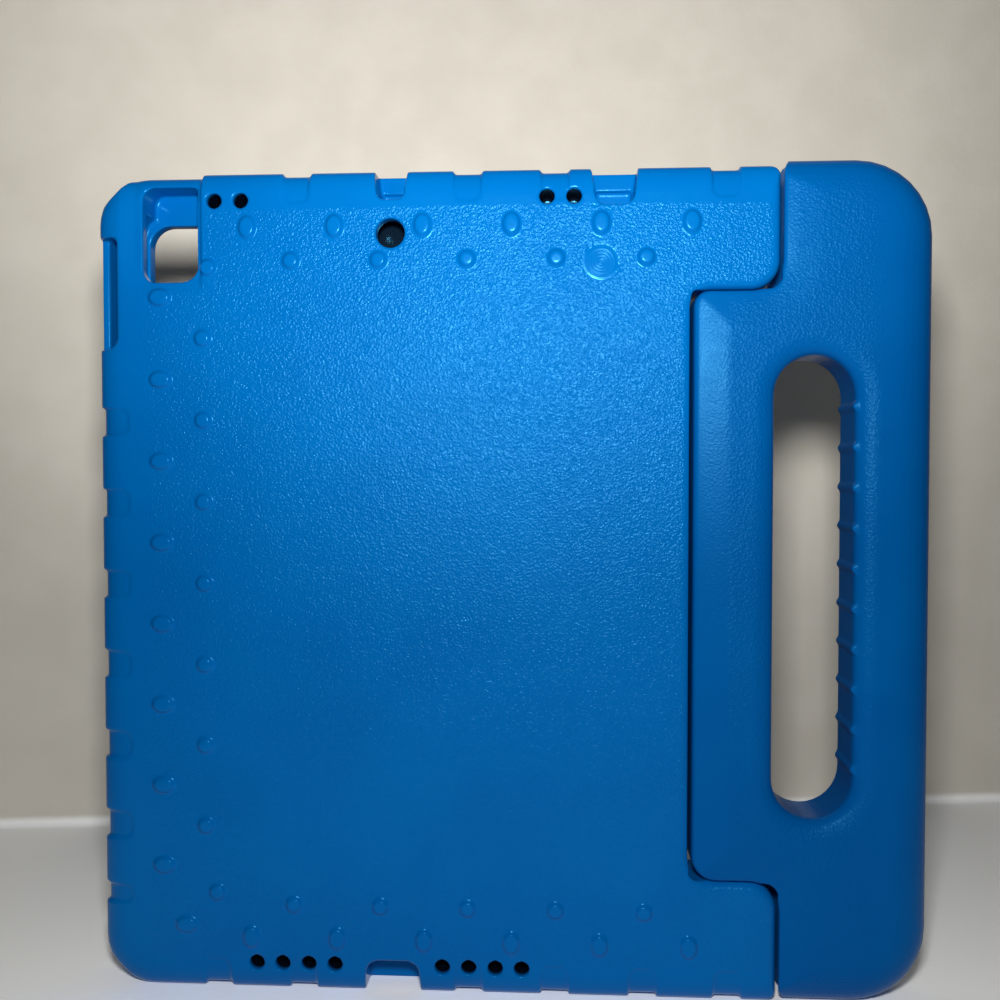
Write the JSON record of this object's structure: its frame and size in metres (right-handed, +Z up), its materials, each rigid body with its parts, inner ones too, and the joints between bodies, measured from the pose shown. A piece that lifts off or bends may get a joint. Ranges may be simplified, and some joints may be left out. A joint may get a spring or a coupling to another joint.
{
  "type": "children's tablet case",
  "caption": "Moulded foam shell with a tablet pocket, edge cutouts and a carry handle that swings back on a side hinge as a stand.",
  "frame": {"origin": "on the ground under the centre of the bounding box, with the case standing on its short edge", "axes": "+X from the case towards the handle, +Y from the back of the case towards its screen side, +Z up"},
  "size_m": [0.275, 0.024, 0.276],
  "materials": {
    "case_foam": "closed-cell moulded foam, satin skin with a fine leather grain on the back and smooth bands at the edges",
    "handle_foam": "closed-cell moulded foam, satin skin with a fine leather grain near the hinge",
    "pin_plastic": "plain moulded plastic",
    "bush_plastic": "plain moulded plastic"
  },
  "bodies": {
    "case": {"case_body": "case_foam", "upper_hinge_bush": "bush_plastic", "lower_hinge_bush": "bush_plastic"},
    "handle": {"handle_stand": "handle_foam", "upper_hinge_pin": "pin_plastic", "lower_hinge_pin": "pin_plastic"}
  },
  "joints": [
    {"name": "handle_swing", "type": "hinge", "parent": "case", "child": "handle", "pos_m": [0.0745, 0, 0.137], "axis": [0, 0, -1], "range_deg": [0, 90]}
  ]
}
